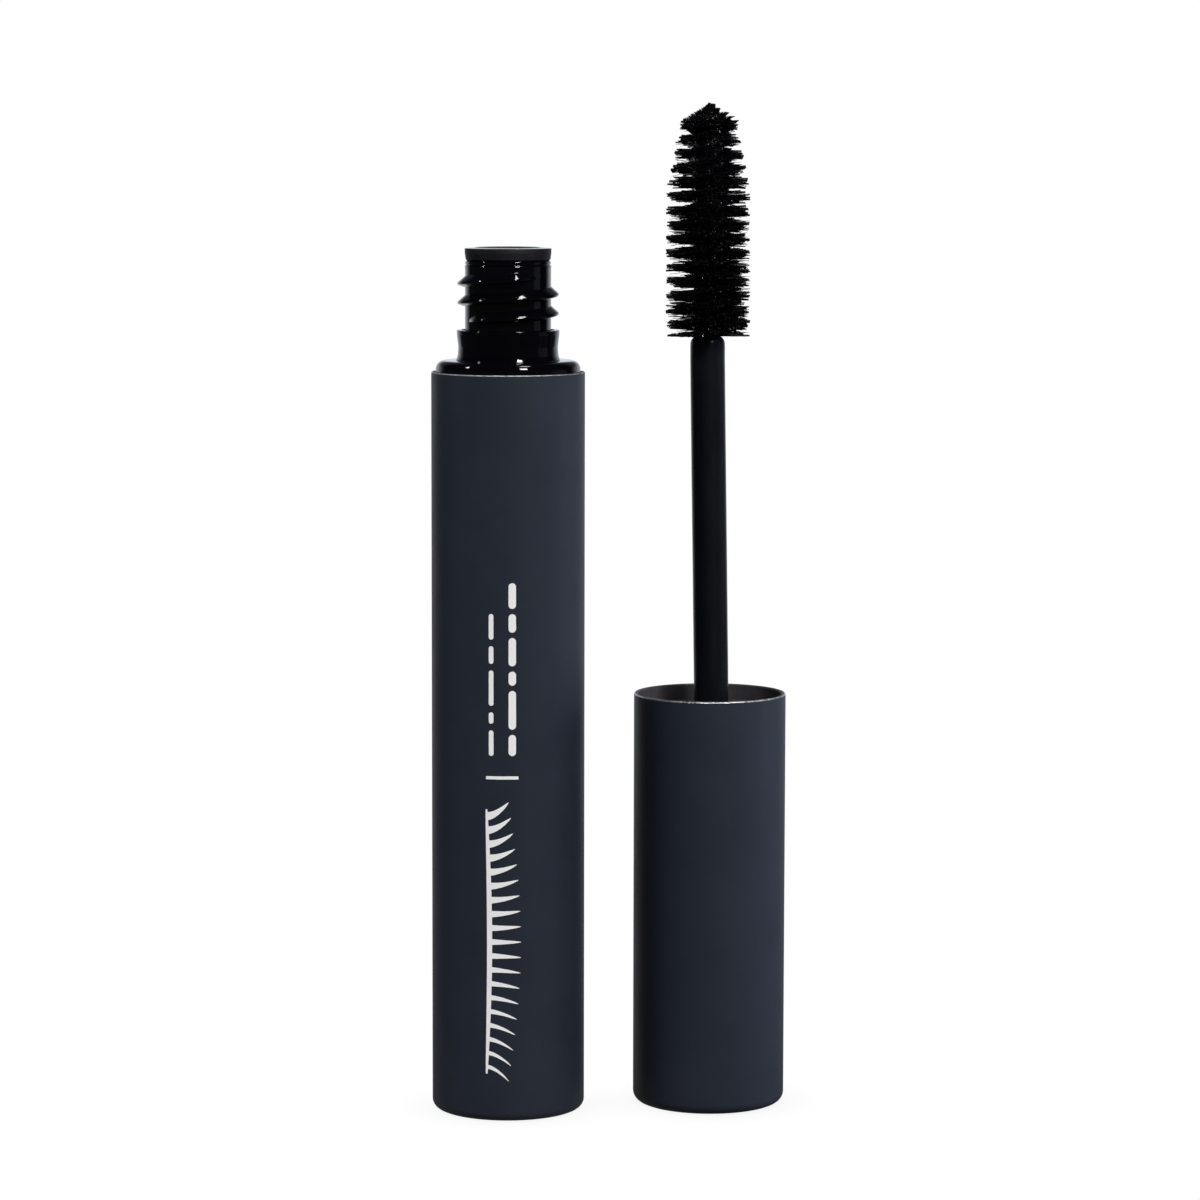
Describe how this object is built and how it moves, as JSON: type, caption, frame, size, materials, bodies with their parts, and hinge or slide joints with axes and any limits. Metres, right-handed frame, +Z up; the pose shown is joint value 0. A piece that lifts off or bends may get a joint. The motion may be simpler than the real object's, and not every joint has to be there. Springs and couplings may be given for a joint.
{
  "type": "mascara tube",
  "caption": "Round metal-sleeved mascara tube shown open: bottle with threaded neck and wiper, and a screw cap with rod and brush standing on its closed end beside it",
  "frame": {"origin": "centre of the bottle's base plane, on the bottle's axis", "axes": "+Z up along the bottle's axis; +X to the viewer's right, towards the standing cap; +Y away from the viewer"},
  "size_m": [0.0407, 0.0209, 0.1156],
  "materials": {
    "sleeve_coating": "soft matte lacquer over drawn aluminium, rims cut bright",
    "bottle_plastic": "polished black",
    "wiper_elastomer": "matte black elastomer",
    "cap_plastic": "satin black",
    "rod_plastic": "glossy black, wetted by the formula",
    "wire_steel": "drawn stainless wire",
    "bristle_nylon": "black nylon fibres clumped by wet formula"
  },
  "bodies": {
    "bottle": {"body_sleeve": "sleeve_coating", "inner_bottle": "bottle_plastic", "shoulder_ring": "bottle_plastic", "wiper": "wiper_elastomer"},
    "cap_and_wand": {"cap_sleeve": "sleeve_coating", "inner_cap": "cap_plastic", "rod": "rod_plastic", "brush_core": "wire_steel", "bristles": "bristle_nylon"}
  },
  "joints": [
    {"name": "cap_turnover", "type": "hinge", "parent": "bottle", "child": "cap_and_wand", "pos_m": [0.0116, 0.00175, 0.11], "axis": [0.1492, -0.9888, 0], "range_deg": [0, 180]}
  ]
}
